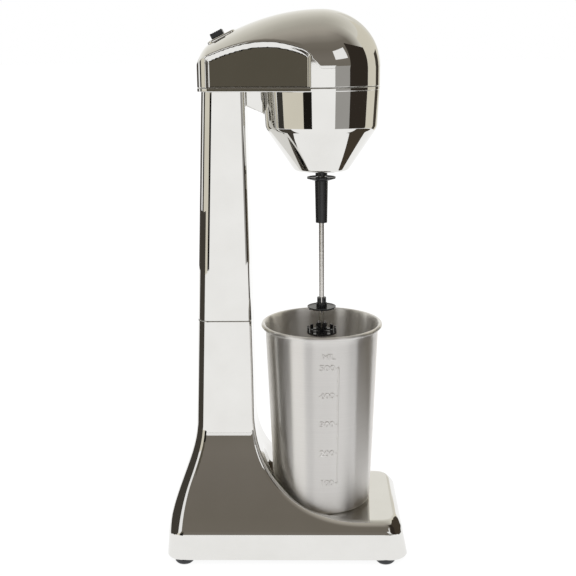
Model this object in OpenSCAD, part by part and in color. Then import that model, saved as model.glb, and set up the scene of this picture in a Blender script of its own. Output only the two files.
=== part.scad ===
// Bench milkshake mixer: a tall chrome column on a broad base, a domed motor head,
// a pull-off spindle with two agitators, and a steel mixing cup that stands under it.
// Millimetres. +Z is up, +X is the front, and the origin is the middle of the footprint
// at the height of the surface that the feet stand on.

/* [Base] */
// Length of the base, front to rear
base_l = 183; // [178:1:188]
// Width of the base
base_w = 108; // [104:1:114]
// Height of the feet below the base
foot_h = 4; // [3:0.5:6]
// Diameter of a foot
foot_d = 15; // [12:1:18]
// Height of the upright band round the base
plinth_z = 25; // [22:1:28]
// Height of the deck that the cup stands on
deck_z = 33; // [31:0.5:36]

/* [Column] */
// Width of the column
column_w = 41; // [36:1:48]
// Height of the joint between the lower and upper column
column_seam_z = 181.6; // [150:1:220]
// Height of the top of the column
column_top_z = 349.8; // [340:0.1:350]

/* [Head] */
// Distance of the spindle axis in front of the middle of the base
spindle_x = 27; // [25:0.5:29]
// Radius of the round front of the head
head_r = 42.8; // [42:0.1:44]
// Height of the seam between the head cover and the lower housing
head_seam_z = 352.6; // [352:0.1:354]
// Height where the dome begins
dome_z = 365.5; // [364:0.5:368]
// Rise of the dome
dome_h = 41; // [38:0.5:43]
// Height of the edge between the motor cylinder and its cone
cone_top_z = 323; // [318:1:326]
// Height of the flat nose of the cone
nose_z = 291.6; // [290:0.1:293]
// Radius of the nose
nose_r = 19.6; // [18:0.1:22]

/* [Spindle] */
// Diameter of the stainless rod
rod_d = 3.8; // [3.5:0.1:4.2]
// Height of the upper agitator disc
upper_agitator_z = 186.5; // [180:1:200]
// Height of the lower agitator ring
lower_agitator_z = 167; // [160:1:172]

/* [Cup] */
// Height of the cup over its rolled rim
cup_h = 142.6; // [130:0.1:144]
// Radius of the body at the top
cup_top_r = 43.1; // [42.9:0.1:43.4]
// Radius of the body at the bottom
cup_bottom_r = 37.6; // [34:0.1:39]
// Thickness of the steel
cup_t = 0.6; // [0.5:0.1:1]

/* [Walls] */
// Thickness of the moulded walls
wall = 2.4; // [2:0.1:3]

/* [Hidden] */
$fn = 64;
STEPS = 6;                    // points round each rounded corner

// ---- shared rules -------------------------------------------------------------------

function clamp(v, a, b) = min(b, max(a, v));
function smooth(u) = let (c = clamp(u, 0, 1)) c * c * (3 - 2 * c);

// the column and its flare
column_half = column_w / 2;
column_rear = 69.6;           // rear face of the column just above the flare
rear_lean = 0.0415;           // forward lean of the rear face, per mm of height
flare_rear_z = 100;           // where the rear face starts to flare, going down
flare_side_z = 98;            // where the sides start to flare, going down
flare_slope = 0.28;           // slope of the sides soon after the start of the flare
flare_blend = 6;              // softness of the start of the flare
front_slope = 0.2;            // backward lean of the base's front face, per mm of height
front_round = 7;              // rounding between the front face and the deck
swoop_x = 60;                 // the swoop is a superellipse about (swoop_x, swoop_z)
swoop_z = 110;
swoop_a = 85;
swoop_b = swoop_z - deck_z;
swoop_n = 2.3;
column_lean = 0.0123;         // rearward lean of the column's front face, per mm

flare_d = flare_side_z - plinth_z;
function flare_start(d) = flare_slope * (sqrt(d * d + flare_blend * flare_blend) - flare_blend);
flare_gain = (base_w / 2 - column_half - flare_start(flare_d)) / (flare_d * flare_d);
function half_w(z) = let (d = clamp(flare_side_z - z, 0, flare_d))
  column_half + flare_start(d) + flare_gain * d * d;
function rear_x(z) = -column_rear - (base_l / 2 - 1.5 - column_rear) * smooth((flare_rear_z - z) / 80)
  - 1.5 * clamp((20 - z) / 16, 0, 1) + rear_lean * max(0, z - 95);
function edge_drop(d, r) = d > 0 ? r - sqrt(pow(r, 2) - pow(min(d, r), 2)) : 0;
function front_x(z) = base_l / 2 - front_slope * (z - foot_h)
  - edge_drop(z - deck_z + front_round, front_round);
function column_x(z) = swoop_x - swoop_a - column_lean * (z - swoop_z);

// one level of the base and column: a rectangle with its own front and rear rounding
function corner(cx, cy, r, a0) =
  [for (i = [0:STEPS - 1]) let (a = a0 + 90 * i / (STEPS - 1)) [cx + r * cos(a), cy + r * sin(a)]];
function level(z, x0, x1, w, rr, rf) = [for (p = concat(
  corner(x1 - rf, w - rf, rf, 0), corner(x0 + rr, w - rr, rr, 90),
  corner(x0 + rr, -w + rr, rr, 180), corner(x1 - rf, -w + rf, rf, 270))) [p[0], p[1], z]];
function rear_round(z) = 9 + 4 * smooth((60 - z) / 40);
function front_corner(z) = 4 + 3 * smooth((44 - z) / 9) + 7 * smooth((31 - z) / 11);

// level t inside the outer face, at height z, with its front at x1
function inset_level(z, x1, t) =
  level(z, rear_x(z) + t, x1 - t, half_w(z) - t, rear_round(z) - t, max(1.2, front_corner(z) - t));

// levels of the base, t inside its outer face: band, deck edge, swoop, then column
function base_levels(t) = let (top = column_seam_z + (t > 0 ? 1 : 0), bottom = foot_h - (t > 0 ? 1 : 0))
  concat(
    [for (z = [bottom, plinth_z]) inset_level(z, front_x(max(z, foot_h)), t)],
    [for (k = [1:4]) let (z = deck_z - front_round * (1 - sin(90 * k / 4)) - t)
      if (z > plinth_z + 0.5) inset_level(z, front_x(z + t), t)],
    [for (k = [0:14]) let (a = 90 * k / 14,
        z = swoop_z - (swoop_b + t) * pow(cos(a), 2 / swoop_n) + 0.03,
        x = swoop_x - (swoop_a + t) * pow(sin(a), 2 / swoop_n))
      inset_level(z, x + t, t)],
    [for (z = [140, top]) inset_level(z, column_x(z), t)]);
function column_levels(z0, z1, t) = [for (z = [z0, (z0 + z1) / 2, z1]) inset_level(z, column_x(z), t)];

// skin a stack of equal rings into one closed solid
module loft(rings) {
  n = len(rings[0]);
  m = len(rings);
  sides = [for (k = [0:m - 2], i = [0:n - 1]) let (j = (i + 1) % n, a = k * n, b = a + n)
    each [[a + i, b + i, b + j], [a + i, b + j, a + j]]];
  bottom = [for (i = [1:n - 2]) [0, i, i + 1]];
  top = [for (i = [1:n - 2]) [(m - 1) * n, (m - 1) * n + i + 1, (m - 1) * n + i]];
  polyhedron(points = [for (r = rings) each r], faces = concat(sides, bottom, top));
}

module at_spindle() { translate([spindle_x, 0, 0]) children(); }
module ring_of(n, r, a0 = 0) {
  for (i = [0:n - 1]) rotate([0, 0, a0 + 360 * i / n]) translate([r, 0, 0]) children();
}

// ---- base ---------------------------------------------------------------------------

well_r = 42;                  // hollow in the swoop that the back of the cup stands in
well_draft = 0.07;
module well(t) {
  at_spindle() translate([0, 0, deck_z + 0.04 - t])
    cylinder(h = 70, r1 = well_r + t, r2 = well_r + t + 70 * well_draft);
}

screw_x = [-60, 2, 60];
screw_y = 40;
plate_t = 2.5;
boss_r = 4;
screw_r = 1.5;
gland_z = 15;
gland_bore_r = 3.4;
gland_seat_r = 5;

module screw_places() {
  for (x = screw_x, s = [-1, 1]) translate([x, s * screw_y, 0]) children();
}

module base_shell() {
  color("gainsboro") difference() {
    union() {
      difference() {
        loft(base_levels(0));
        difference() {
          loft(base_levels(wall));
          well(wall);
        }
        well(0);
      }
      intersection() {
        loft(base_levels(wall / 2));
        screw_places() translate([0, 0, foot_h + plate_t + 0.4]) cylinder(h = 60, r = boss_r);
      }
    }
    screw_places() translate([0, 0, foot_h]) cylinder(h = 14, r = screw_r);
    translate([-base_l / 2 - 1, 0, gland_z]) rotate([0, 90, 0]) cylinder(h = 12, r = gland_seat_r + 0.05);
  }
}

foot_front_x = 74.5;
foot_rear_x = -78;
foot_y = 46.5;
stud_r = 2.5;
foot_neck_r = 4.2;            // the part of a foot that reaches up to the plate, inside the shell's rim
plate_z = foot_h + 0.2;

module base_plate() {
  color([0.08, 0.08, 0.09]) difference() {
    translate([0, 0, plate_z]) linear_extrude(plate_t)
      polygon([for (p = inset_level(plate_z, front_x(plate_z), wall + 0.9)) [p[0], p[1]]]);
    screw_places() cylinder(h = 10, r = screw_r + 0.3);
    for (x = [foot_rear_x, foot_front_x], y = [-foot_y, foot_y])
      translate([x, y, 0]) cylinder(h = 10, r = stud_r);
  }
}

module base_plate_screws() {
  color("dimgray") screw_places() {
    translate([0, 0, plate_z - 1.6]) cylinder(h = 1.6, r = 3);
    translate([0, 0, plate_z - 0.2]) cylinder(h = 14, r = screw_r);
  }
}

module foot(x, y) {
  color([0.05, 0.05, 0.06]) translate([x, y, 0]) {
    rotate_extrude() polygon([[0, 0], [foot_d / 2 - 1.5, 0], [foot_d / 2 - 0.4, 1.2],
      [foot_d / 2, foot_h - 0.05], [foot_neck_r, foot_h - 0.05], [foot_neck_r, plate_z],
      [stud_r, plate_z], [stud_r, plate_z + plate_t], [stud_r + 0.8, plate_z + plate_t],
      [stud_r - 0.4, plate_z + plate_t + 2], [0, plate_z + plate_t + 2]]);
  }
}

// bushing that the mains lead enters through, flush in the rear wall
module cord_bushing() {
  color([0.06, 0.06, 0.07]) translate([-base_l / 2 + 0.6, 0, gland_z]) rotate([0, 90, 0]) difference() {
    union() {
      cylinder(h = 11, r = gland_seat_r);
      translate([0, 0, 4]) cylinder(h = 3, r = gland_seat_r + 2);
    }
    translate([0, 0, -1]) cylinder(h = 13, r = gland_bore_r);
  }
}

module lead_clamp() {
  color([0.1, 0.1, 0.11]) difference() {
    translate([-72, -9, plate_z + plate_t + 0.2]) cube([7, 18, 11.8]);
    translate([-74, 0, gland_z]) rotate([0, 90, 0]) cylinder(h = 12, r = gland_bore_r);
    for (s = [-1, 1]) translate([-68.5, s * 6.4, plate_z]) cylinder(h = 20, r = 1.2);
  }
}

// lead inside the housings, from just inside the bushing to the switch
lead_r = 3;
lead_path = [[-77, 0, 15], [-71, 0, 15], [-64, 0, 15], [-56, 0, 18], [-51, 0, 26], [-49, 0, 40],
  [-48, 0, 70], [-47, 0, 100], [-46, 0, 140], [-46, 0, 180], [-45, 0, 220], [-45, 0, 260],
  [-44, 0, 300], [-44, 0, 330], [-44, 0, 350], [-45, 0, 360], [-46, 0, 366]];
function unit(v) = v / norm(v);
function lead_dir(i) = unit(lead_path[min(len(lead_path) - 1, i + 1)] - lead_path[max(0, i - 1)]);
module internal_lead() {
  rings = [for (i = [0:len(lead_path) - 1]) let (d = lead_dir(i), s = [0, 1, 0], u = cross(d, s))
    [for (k = [0:7]) lead_path[i] + lead_r * 0.98 * (cos(45 * k) * s - sin(45 * k) * u)]];
  color([0.12, 0.12, 0.13]) loft([for (i = [len(rings) - 1:-1:0]) rings[i]]);
}

// ---- column -------------------------------------------------------------------------

spigot = 14;                  // how far the upper column reaches into the lower one
column_gap = 0.2;             // fine line left open at the joint
fixing_x = [-53.5, -34.5];    // screws that hold the head on the column
fixing_y = 14.6;
column_boss_z = 30;

module fixing_places() {
  for (x = fixing_x, s = [-1, 1]) translate([x, s * fixing_y, 0]) children();
}

module column_shell() {
  color("gainsboro") difference() {
    union() {
      difference() {
        union() {
          loft(column_levels(column_seam_z + column_gap, column_top_z, 0));
          loft(column_levels(column_seam_z - spigot, column_seam_z + 9, wall + 0.3));
        }
        loft(column_levels(column_seam_z + 8, column_top_z + 1, wall));
        loft(column_levels(column_seam_z - spigot - 1, column_seam_z + 8.5, wall + 2.1));
      }
      intersection() {
        loft(column_levels(column_top_z - column_boss_z, column_top_z, wall / 2));
        fixing_places() translate([0, 0, column_top_z - column_boss_z]) cylinder(h = column_boss_z, r = 4.2);
      }
    }
    fixing_places() translate([0, 0, column_top_z - 18]) cylinder(h = 20, r = 1.5);
  }
}

tray_t = 2.6;                 // thickness of the tray that closes the rear of the head
module column_screws() {
  color("dimgray") fixing_places() {
    translate([0, 0, head_seam_z + 0.1]) cylinder(h = 2.4, r = 3);
    translate([0, 0, column_top_z - 14]) cylinder(h = 18, r = 1.5);
  }
}

// ---- head ---------------------------------------------------------------------------

cheek_x = 18.8;               // where the flat cheeks meet the round front
cheek_y = 42.1;
cheek_taper = 0.17;           // how far each cheek closes in, per mm towards the rear
head_rear = -60.8;
head_rear_round = 8;

// plan of the head's rear, t inside its outline
function cheek_half(x) = cheek_y - cheek_taper * (cheek_x - x);
function rear_plan(t) = let (x0 = head_rear + t, r = head_rear_round - t, w = cheek_half(x0 + r) - t) concat(
  [[cheek_x + 8, cheek_half(cheek_x + 8) - t - 1.4]], [[cheek_x, cheek_y - t]],
  [for (p = corner(x0 + r, w - r, r, 90)) p], [for (p = corner(x0 + r, -w + r, r, 180)) p],
  [[cheek_x, -cheek_y + t]], [[cheek_x + 8, -cheek_half(cheek_x + 8) + t + 1.4]]);

cover_post_x = -46;           // posts in the cover that its two screws go into
cover_post_y = 24;
cover_screw_r = 1.3;
cover_head_r = 2.6;
countersink = 1.4;            // depth of the flush screw heads in the tray

module housing_profile(t, extra) {
  polygon([[0, nose_z + t], [nose_r - t * 0.5, nose_z + t], [head_r - 1.8 - t, cone_top_z + t * 0.3],
    [head_r - t, head_seam_z + extra], [0, head_seam_z + extra]]);
}

locating_r = head_r - wall - 0.25;  // lip inside the housing that the cover drops over
web_t = 5;
module web() {
  translate([0, web_t / 2, 0]) rotate([90, 0, 0]) linear_extrude(web_t)
    polygon([[-27.8, 338.8], [-14.6, 333], [-14.6, 352], [-27.8, 352]]);
}

module head_housing() {
  color("gainsboro") difference() {
    union() {
      at_spindle() rotate_extrude() housing_profile(0, 0);
      translate([0, 0, head_seam_z - tray_t]) linear_extrude(tray_t) polygon(rear_plan(0));
      web();
    }
    at_spindle() rotate_extrude() housing_profile(wall, 1);
    at_spindle() translate([0, 0, nose_z - 1]) cylinder(h = 10, r = 5.5);
    fixing_places() translate([0, 0, 340]) cylinder(h = 20, r = 1.8);
    translate([-44, 0, 340]) cylinder(h = 20, r = 5);
    for (s = [-1, 1]) translate([cover_post_x, s * cover_post_y, 0]) {
      translate([0, 0, 340]) cylinder(h = 20, r = cover_screw_r + 0.3);
      translate([0, 0, head_seam_z - tray_t - 0.1])
        cylinder(h = countersink + 0.2, r1 = cover_head_r + 0.2, r2 = cover_screw_r + 0.2);
    }
  }
  color("gainsboro") at_spindle() rotate_extrude() polygon([[locating_r - 1.6, head_seam_z - 5.6],
    [head_r - wall / 2 - 0.6, head_seam_z - 5.6], [head_r - wall / 2 - 0.6, head_seam_z - 0.6],
    [locating_r, head_seam_z - 0.6], [locating_r, head_seam_z + 4.4], [locating_r - 1.6, head_seam_z + 4.4]]);
}

// height of the head's crown over a point of its plan, with the shell t thinner
crown_l = 106;                // the crown's ridge is a parabola that would come down this far back
crown_edge = 7;               // rounding between the ridge and the rear face
crown_bulge = 1.2;            // extra half width of the crown behind the spindle
function crown_w(u) = head_r + crown_bulge * smooth(u / 15) - 9 * pow(max(0, u - 30) / 50, 2);
function ridge(u) = 1 - pow(u / crown_l, 2);
function crown_z(x, y, t) = let (u = spindle_x - x, r = head_r - t)
  dome_z + (dome_h - t) * (u <= 0
    ? sqrt(max(0, 1 - (u * u + y * y) / (r * r)))
    : ridge(u * (crown_l / (crown_l - t))) * sqrt(max(0, 1 - pow(y / (crown_w(u) - t), 2))))
  - edge_drop(head_rear + crown_edge - x, crown_edge - t);

// outline of the head cover, t inside, and rings of it drawn in towards its middle
front_steps = 22;
function cover_outline(t) = let (r = head_r - t, a1 = acos((cheek_x - spindle_x) / head_r),
    x0 = head_rear + t, rr = head_rear_round - t, w = cheek_half(x0 + rr) - t) concat(
  [for (i = [0:front_steps]) let (a = -a1 + 2 * a1 * i / front_steps)
    [spindle_x + r * cos(a), r * sin(a)]],
  [for (i = [1:6]) let (x = cheek_x + (x0 + rr - cheek_x) * i / 7) [x, cheek_half(x) - t]],
  corner(x0 + rr, w - rr, rr, 90), corner(x0 + rr, -w + rr, rr, 180),
  [for (i = [6:-1:1]) let (x = cheek_x + (x0 + rr - cheek_x) * i / 7) [x, -cheek_half(x) + t]]);
crown_rings = 9;
module cover_solid(z0, t) {
  o = cover_outline(t);
  mid = [spindle_x - 14, 0];
  rings = concat([[for (p = o) [p[0], p[1], z0]]],
    [for (k = [0:crown_rings - 1]) let (s = cos(90 * k / crown_rings))
      [for (p = o) let (q = mid + (p - mid) * s) [q[0], q[1], crown_z(q[0], q[1], t) + (k == 0 ? 0.02 : 0)]]]);
  n = len(o);
  m = len(rings);
  tip = n * m;
  faces = concat(
    [for (k = [0:m - 2], i = [0:n - 1]) let (j = (i + 1) % n, a = k * n, b = a + n)
      each [[a + i, b + i, b + j], [a + i, b + j, a + j]]],
    [for (i = [0:n - 1]) [(m - 1) * n + i, tip, (m - 1) * n + (i + 1) % n]],
    [for (i = [1:n - 2]) [0, i, i + 1]]);
  polyhedron(points = concat([for (r = rings) each r], [[mid[0], 0, crown_z(mid[0], 0, t)]]), faces = faces);
}

// the switch sits on the crown's rear slope, in a frame of its own: z = 0 is the plate's face
switch_slope = 25.7;
switch_at = [-44.6, 0, 388.6];
module on_slope() { translate(switch_at) rotate([0, -switch_slope, 0]) children(); }
plate_l = 21.4;
plate_w = 21;
slot_l = 12.4;
slot_w = 4.6;
module plate_outline(t) {
  x = plate_l / 2 - t;
  y = plate_w / 2 - t;
  r = 4 - t;
  polygon(concat(corner(x - r, y - r, r, 0), corner(-x + r, y - r, r, 90),
    corner(-x + r, -y + r, r, 180), corner(x - r, -y + r, r, 270)));
}

module head_cover() {
  color("gainsboro") difference() {
    union() {
      difference() {
        cover_solid(head_seam_z + 0.15, 0);
        cover_solid(head_seam_z - 1, wall);
      }
      intersection() {
        cover_solid(head_seam_z + 0.4, wall / 2);
        for (s = [-1, 1]) translate([cover_post_x, s * cover_post_y, head_seam_z]) cylinder(h = 40, r = 3.6);
      }
    }
    for (s = [-1, 1]) translate([cover_post_x, s * cover_post_y, head_seam_z])
      cylinder(h = 10, r = cover_screw_r);
    on_slope() translate([0, 0, -15]) linear_extrude(18) plate_outline(-0.12);
  }
}

module head_cover_screws() {
  color("dimgray") for (s = [-1, 1]) translate([cover_post_x, s * cover_post_y, 0]) {
    translate([0, 0, head_seam_z - tray_t + 0.1]) {
      cylinder(h = countersink, r1 = cover_head_r, r2 = cover_screw_r);
      cylinder(h = 9.2, r = cover_screw_r);
    }
  }
}

plate_edge = 1.1;             // chamfer round the plate's face
module switch_plate() {
  color("gainsboro") on_slope() difference() {
    union() {
      translate([0, 0, -9]) linear_extrude(9 - plate_edge) plate_outline(0);
      translate([0, 0, -9]) linear_extrude(9 - plate_edge / 2) plate_outline(plate_edge / 2);
      translate([0, 0, -9]) linear_extrude(9) plate_outline(plate_edge);
    }
    translate([0, 0, -10]) linear_extrude(10 - wall) plate_outline(2);
    translate([-slot_l / 2, -slot_w / 2, -6]) cube([slot_l, slot_w, 12]);
  }
}

knob_l = 9.4;
knob_w = 11;
knob_h = 4;
knob_start = -2.2;            // middle of the knob along the plate when it is off
stem_w = 3.8;
module switch_knob() {
  ribs = 6;
  color([0.07, 0.07, 0.08]) on_slope() translate([knob_start, 0, 0]) union() {
    difference() {
      translate([-knob_l / 2, -knob_w / 2, 0.3]) cube([knob_l, knob_w, knob_h]);
      for (i = [0:ribs - 1]) translate([-knob_l / 2 + 1.2 + i * 1.4, -knob_w, knob_h - 0.4])
        translate([-0.35, 0, 0]) cube([0.7, 2 * knob_w, 2]);
    }
    translate([-stem_w / 2, -stem_w / 2, -10.4]) cube([stem_w, stem_w, 10.8]);
  }
}

body_top = -9.2;              // top of the switch body, under the plate
module switch_body() {
  color([0.15, 0.15, 0.16]) on_slope() difference() {
    union() {
      translate([-9, -6.5, body_top - 11]) cube([18, 13, 11]);
      translate([-3, -9.6, body_top - 2]) cube([6, 19.2, 2]);
      translate([-8.5, -6, body_top - 1]) cube([17, 12, 6.6]);
    }
    translate([-slot_l / 2, -slot_w / 2, body_top - 3]) cube([slot_l, slot_w, 20]);
    for (s = [-1, 1]) translate([0, s * 8.9, body_top - 3]) cylinder(h = 10, r = 1);
  }
}

module switch_terminals() {
  color("gold") on_slope() for (i = [-1:1])
    translate([i * 5.5 - 0.4, -2.4, body_top - 17]) cube([0.8, 4.8, 5.9]);
}

// screws that draw the switch body up against the rim of the plate
module switch_screws() {
  color("dimgray") on_slope() for (s = [-1, 1]) translate([0, s * 8.9, 0]) {
    translate([0, 0, body_top - 3.4]) cylinder(h = 1.3, r = 1.8);
    translate([0, 0, body_top - 2.2]) cylinder(h = 2.2 + 0.1, r = 0.95);
  }
}

// small parts on the tray: a diode for the low speed and a capacitor across the supply
module speed_diode() {
  color([0.1, 0.1, 0.1]) translate([-25, -13, head_seam_z + 2.8]) rotate([90, 0, 0]) {
    translate([0, 0, -4]) cylinder(h = 8, r = 2.6);
    translate([0, 0, -9]) cylinder(h = 18, r = 0.5);
  }
}

module suppression_capacitor() {
  color([0.8, 0.65, 0.15]) translate([-31, 8, head_seam_z + 0.1]) {
    cube([14, 7.5, 11]);
    for (x = [2, 11.4]) translate([x, 7, 4]) cube([0.6, 4, 0.6]);
  }
}

// ---- motor --------------------------------------------------------------------------

shaft_r = 2.5;
bush_r = 5;
stator_z0 = 341;
stator_h = 21;
rotor_r = 14.5;
air_gap = 0.6;
commutator_r = 8;
brush_z = 377;
screw_ring = 23;

module stator_core() {
  color("slategray") at_spindle() difference() {
    translate([0, 0, stator_z0]) linear_extrude(stator_h)
      polygon([[-29, -17], [-22, -25], [22, -25], [29, -17], [29, 17], [22, 25], [-22, 25], [-29, 17]]);
    translate([0, 0, stator_z0 - 1]) cylinder(h = stator_h + 2, r = rotor_r + air_gap);
    for (s = [-1, 1]) translate([-12, s * 17.5 - 2.6, stator_z0 - 1]) cube([24, 5.2, stator_h + 2]);
    for (s = [-1, 1]) translate([s * screw_ring, 0, stator_z0 - 1]) cylinder(h = stator_h + 2, r = 1.8);
  }
}

module field_coil(s) {
  color([0.62, 0.3, 0.12]) at_spindle() difference() {
    translate([-11.7, s * 17.5 - 2.3, stator_z0 - 5]) cube([23.4, 4.6, stator_h + 10]);
    translate([-6, s * 17.5 - 1, stator_z0 - 8]) cube([12, 2, stator_h + 16]);
  }
}

module bracket(z, t) {
  difference() {
    union() {
      translate([-28, -8, z]) cube([56, 16, t]);
      translate([0, 0, z]) cylinder(h = t + 3, r = 9);
    }
    translate([0, 0, z - 1]) cylinder(h = t + 6, r = bush_r);
    for (s = [-1, 1]) translate([s * screw_ring, 0, z - 1]) cylinder(h = t + 2, r = 1.8);
  }
}

lower_bracket_z = 326;
upper_bracket_z = 384;
module lower_bearing_bracket() {
  color("silver") at_spindle() {
    bracket(lower_bracket_z, 3);
    for (s = [-1, 1]) translate([s * screw_ring, 0, lower_bracket_z + 3]) difference() {
      cylinder(h = stator_z0 - lower_bracket_z - 3.1, r = 3.4);
      translate([0, 0, -1]) cylinder(h = 20, r = 1.8);
    }
  }
}

module upper_bearing_bracket() {
  color("silver") at_spindle() {
    bracket(upper_bracket_z, 2.5);
    for (s = [-1, 1]) translate([-6, s * 12 - 6, upper_bracket_z]) cube([12, 12, 2.5]);
    for (s = [-1, 1]) translate([s * screw_ring, 0, stator_z0 + stator_h + 0.1]) difference() {
      cylinder(h = upper_bracket_z - stator_z0 - stator_h - 0.1, r = 3.4);
      translate([0, 0, -1]) cylinder(h = 30, r = 1.8);
    }
  }
}

module bush(z, h) {
  color([0.6, 0.45, 0.25]) at_spindle() translate([0, 0, z]) difference() {
    cylinder(h = h, r = bush_r);
    translate([0, 0, -1]) cylinder(h = h + 2, r = shaft_r + 0.05);
  }
}

module motor_screws() {
  color("dimgray") at_spindle() for (s = [-1, 1]) translate([s * screw_ring, 0, 0]) {
    translate([0, 0, 322]) cylinder(h = 67, r = 1.5);
    translate([0, 0, upper_bracket_z + 2.5]) cylinder(h = 2, r = 3);
  }
}

// rubber ring that holds the motor in the lower housing and keeps its hum out of the shell
module motor_mount_ring() {
  color([0.1, 0.1, 0.1]) at_spindle() translate([0, 0, lower_bracket_z - 3.2]) difference() {
    cylinder(h = 3, r = 37.6);
    translate([0, 0, -1]) cylinder(h = 5, r = 21);
    for (s = [-1, 1]) translate([s * screw_ring, 0, -1]) cylinder(h = 5, r = 1.8);
  }
}

module nose_seal() {
  color([0.05, 0.05, 0.06]) at_spindle() translate([0, 0, nose_z - 4]) difference() {
    union() {
      cylinder(h = 4, r = 4.4);
      translate([0, 0, 3.9]) cylinder(h = 4, r = 5.4);
      translate([0, 0, 3.9 + wall + 0.2]) cylinder(h = 1.6, r = 7.5);
    }
    translate([0, 0, -1]) cylinder(h = 12, r = shaft_r + 0.06);
  }
}

// ---- brushes, one each side of the commutator -------------------------------------------

brush_half = 2.2;
brush_out = 18;               // outer end of a brush
holder_out = 27;
module aside(s) { at_spindle() translate([0, 0, brush_z]) rotate([0, 0, s * 90]) children(); }

module brush_holder(s) {
  color([0.35, 0.22, 0.1]) aside(s) difference() {
    union() {
      translate([10, -4.2, -4]) cube([holder_out - 10, 8.4, 8]);
      translate([11, -4.2, 3]) cube([7, 8.4, upper_bracket_z - brush_z - 3.05]);
    }
    translate([9, -brush_half - 0.06, -brush_half - 0.06])
      cube([holder_out - 10.2, 2 * brush_half + 0.12, 2 * brush_half + 0.12]);
  }
}

module carbon_brush(s) {
  color([0.1, 0.1, 0.1]) aside(s) difference() {
    translate([commutator_r - 1, -brush_half, -brush_half])
      cube([brush_out - commutator_r + 1, 2 * brush_half, 2 * brush_half]);
    translate([0, 0, -10]) cylinder(h = 20, r = commutator_r + 0.06);
  }
}

spring_turns = 4;
spring_steps = 10;            // rings of the wire in each turn
spring_r = 1.5;
wire_r = 0.3;
module brush_spring(s) {
  length = holder_out - brush_out - 2;
  rings_n = spring_turns * spring_steps;
  rings = [for (k = [0:rings_n]) let (a = 360 * k / spring_steps, x = brush_out + 0.4 + length * k / rings_n)
    [for (i = [0:5]) let (r = spring_r + wire_r * cos(60 * i))
      [x + wire_r * sin(60 * i), r * cos(a), r * sin(a)]]];
  color("silver") aside(s) loft(rings);
}

// ---- rotor --------------------------------------------------------------------------

shaft_z0 = 270;
drive_l = 12;                 // two flats on the end of the shaft turn the spindle
drive_flat = 0.5;
module motor_shaft() {
  color("silver") at_spindle() difference() {
    translate([0, 0, shaft_z0]) cylinder(h = 393 - shaft_z0, r = shaft_r);
    for (s = [0, 180]) rotate([0, 0, s])
      translate([shaft_r - drive_flat, -4, shaft_z0 - 1]) cube([4, 8, drive_l + 1]);
  }
}

module hub(z, h, r, bore) {
  translate([0, 0, z]) difference() {
    cylinder(h = h, r = r);
    translate([0, 0, -1]) cylinder(h = h + 2, r = bore);
  }
}

module rotor_core() {
  slots = 12;
  color("slategray") at_spindle() difference() {
    hub(stator_z0 + 0.5, stator_h - 1, rotor_r, shaft_r + 0.01);
    ring_of(slots, rotor_r - 2.6) translate([0, 0, stator_z0 - 1]) cylinder(h = stator_h + 2, r = 1.5);
    ring_of(slots, rotor_r) translate([-1, -0.6, stator_z0 - 1]) cube([3, 1.2, stator_h + 2]);
  }
}

module rotor_winding() {
  slots = 12;
  color([0.65, 0.33, 0.13]) at_spindle() {
    hub(stator_z0 - 5.6, 6, 12.6, 3.4);
    hub(stator_z0 + stator_h - 0.4, 6, 12.6, 3.4);
    ring_of(slots, rotor_r - 2.6) translate([0, 0, stator_z0]) cylinder(h = stator_h, r = 1.3);
  }
}

module commutator() {
  bars = 24;
  color([0.72, 0.45, 0.2]) at_spindle() difference() {
    union() {
      hub(371, 10, commutator_r, shaft_r + 0.01);
      hub(368.5, 2.6, 9.4, shaft_r + 0.01);
    }
    ring_of(bars, 9.4) translate([-0.9, -0.2, 368]) cube([2, 0.4, 3]);
  }
}

module cooling_fan() {
  blades = 11;
  color([0.9, 0.9, 0.86]) at_spindle() {
    hub(308, 9, 5, shaft_r + 0.01);
    hub(315, 1.4, 22, 4.5);
    ring_of(blades, 4.6) translate([0, -0.6, 309]) cube([17, 1.2, 6.5]);
  }
}

// ---- spindle, which pulls off the motor shaft -----------------------------------------

disc_z = 286.2;
sleeve_top_r = 4.9;
sleeve_bottom_r = 4.3;
sleeve_z0 = 252.6;
module spindle_sleeve() {
  color([0.06, 0.06, 0.07]) at_spindle() difference() {
    union() {
      translate([0, 0, sleeve_z0]) cylinder(h = disc_z - sleeve_z0, r1 = sleeve_bottom_r, r2 = sleeve_top_r);
      translate([0, 0, disc_z]) rotate_extrude() polygon([[0, -2.4], [5, -2.4], [10.6, -0.6], [10.6, 0.5],
        [9.9, 0.5], [9.6, -0.1], [4, -0.9], [0, -0.9]]);
      translate([0, 0, disc_z - 1.2]) cylinder(h = 1.8, r = 4.2);
    }
    translate([0, 0, shaft_z0 - 0.4]) intersection() {
      cylinder(h = 30, r = shaft_r + 0.04);
      translate([-shaft_r + drive_flat - 0.04, -5, 0]) cube([2 * (shaft_r - drive_flat + 0.04), 10, 30]);
    }
    translate([0, 0, shaft_z0 + drive_l]) cylinder(h = 30, r = shaft_r + 0.04);
    translate([0, 0, sleeve_z0 - 1]) cylinder(h = 11, r = rod_d / 2);
  }
}

module spindle_rod() {
  color("silver") at_spindle() translate([0, 0, lower_agitator_z + 1.4])
    cylinder(h = sleeve_z0 + 9.8 - lower_agitator_z - 1.4, r = rod_d / 2);
}

// split hub that grips the rod: a plain collar with four fingers
module gripping_hub(z, h) {
  difference() {
    union() {
      translate([0, 0, z]) cylinder(h = h * 0.5, r = 4.1);
      translate([0, 0, z]) cylinder(h = h, r = 3.5);
    }
    translate([0, 0, z - 1]) cylinder(h = h + 2, r = rod_d / 2);
    for (a = [0, 90]) rotate([0, 0, a]) translate([-6, -0.7, z + h * 0.45]) cube([12, 1.4, h]);
  }
}

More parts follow.
